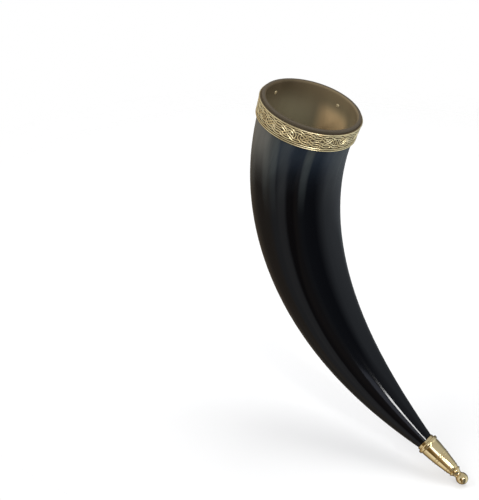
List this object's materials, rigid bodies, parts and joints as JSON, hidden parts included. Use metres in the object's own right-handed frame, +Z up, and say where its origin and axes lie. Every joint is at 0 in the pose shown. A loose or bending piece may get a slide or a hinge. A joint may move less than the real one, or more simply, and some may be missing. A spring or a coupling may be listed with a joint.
{
  "type": "horn drinking cup",
  "caption": "Curved drinking horn with a deep hollow, an embossed knotwork band pinned round its mouth and a turned ferrule with a ball finial at its tip.",
  "frame": {"origin": "centre of the horn where a stand's ring seats it, 90 mm down the centre line from the rim", "axes": "+Z up, out of the mouth's side; +X towards the tip; the horn curves in the XZ plane"},
  "size_m": [0.1987, 0.0754, 0.2674],
  "materials": {
    "horn": "polished buffalo horn, near black with grey and brown streaks, translucent at the rim",
    "band_brass": "pale embossed brass strip, antiqued brown in the recesses",
    "pin_brass": "small brass pins",
    "ferrule_brass": "bright polished turned brass"
  },
  "bodies": {
    "root": {"horn_body": "horn", "rim_band": "band_brass", "band_pin_1": "pin_brass", "band_pin_2": "pin_brass", "band_pin_3": "pin_brass", "band_pin_4": "pin_brass", "tip_ferrule": "ferrule_brass", "tip_finial": "ferrule_brass"}
  },
  "joints": []
}
